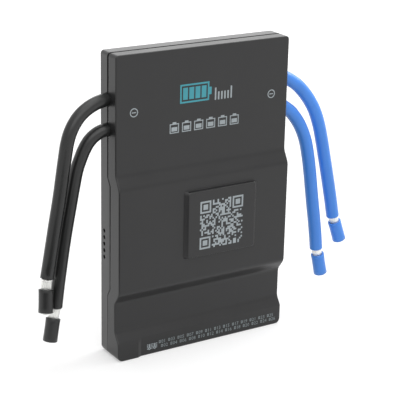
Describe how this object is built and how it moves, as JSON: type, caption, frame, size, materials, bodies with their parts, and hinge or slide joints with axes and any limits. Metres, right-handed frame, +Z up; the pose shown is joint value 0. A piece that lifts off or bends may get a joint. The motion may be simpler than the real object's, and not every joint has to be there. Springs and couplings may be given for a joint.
{
  "type": "battery management board",
  "caption": "Battery protection board in a flat two-part moulded case with a stepped front, a raised pad, power leads from both sides and cell connectors in its base.",
  "frame": {"origin": "middle of the case at its base, without the leads", "axes": "X across the case to the right as seen from the printed front, Y from the front to the flat back, Z up"},
  "size_m": [0.1929, 0.022, 0.162],
  "materials": {
    "front_case": "fine satin moulded texture",
    "rear_case": "smooth satin",
    "screws": "zinc plated",
    "board": "solder mask",
    "connector": "natural nylon",
    "pins": "tinned",
    "copper": "bare copper",
    "chips": "moulded epoxy",
    "pad": "soft silicone",
    "spreader": "extruded",
    "shunts": "alloy strip",
    "capacitors": "shrink sleeve over an aluminium can",
    "cores": "ferrite",
    "radio_board": "solder mask",
    "lights": "clear",
    "strands": "tinned copper strands",
    "black_lead": "silicone insulation, satin",
    "blue_lead": "silicone insulation, satin"
  },
  "bodies": {
    "root": {"front_cover": "front_case", "rear_cover": "rear_case", "case_screws": "screws", "circuit_board": "board", "board_screws": "screws", "balance_header_left": "connector", "balance_header_right": "connector", "temperature_header": "connector", "balance_pins": "pins", "temperature_pins": "pins", "discharge_terminal": "copper", "battery_terminal": "copper", "power_transistors": "chips", "thermal_pad": "pad", "heat_spreader": "spreader", "spreader_screws": "screws", "current_shunts": "shunts", "balance_capacitors": "capacitors", "inductor_cores": "cores", "inductor_coils": "copper", "supply_capacitors": "spreader", "controller_chip": "chips", "balance_switches": "chips", "radio_board": "radio_board", "radio_shield": "shunts", "indicator_lights": "lights", "discharge_conductors": "strands", "battery_conductors": "strands", "discharge_lead_upper": "black_lead", "discharge_strands_upper": "strands", "discharge_sleeve_upper": "black_lead", "discharge_lead_lower": "black_lead", "discharge_strands_lower": "strands", "discharge_sleeve_lower": "black_lead", "battery_lead_upper": "blue_lead", "battery_strands_upper": "strands", "battery_sleeve_upper": "blue_lead", "battery_lead_lower": "blue_lead", "battery_strands_lower": "strands", "battery_sleeve_lower": "blue_lead"}
  },
  "joints": []
}
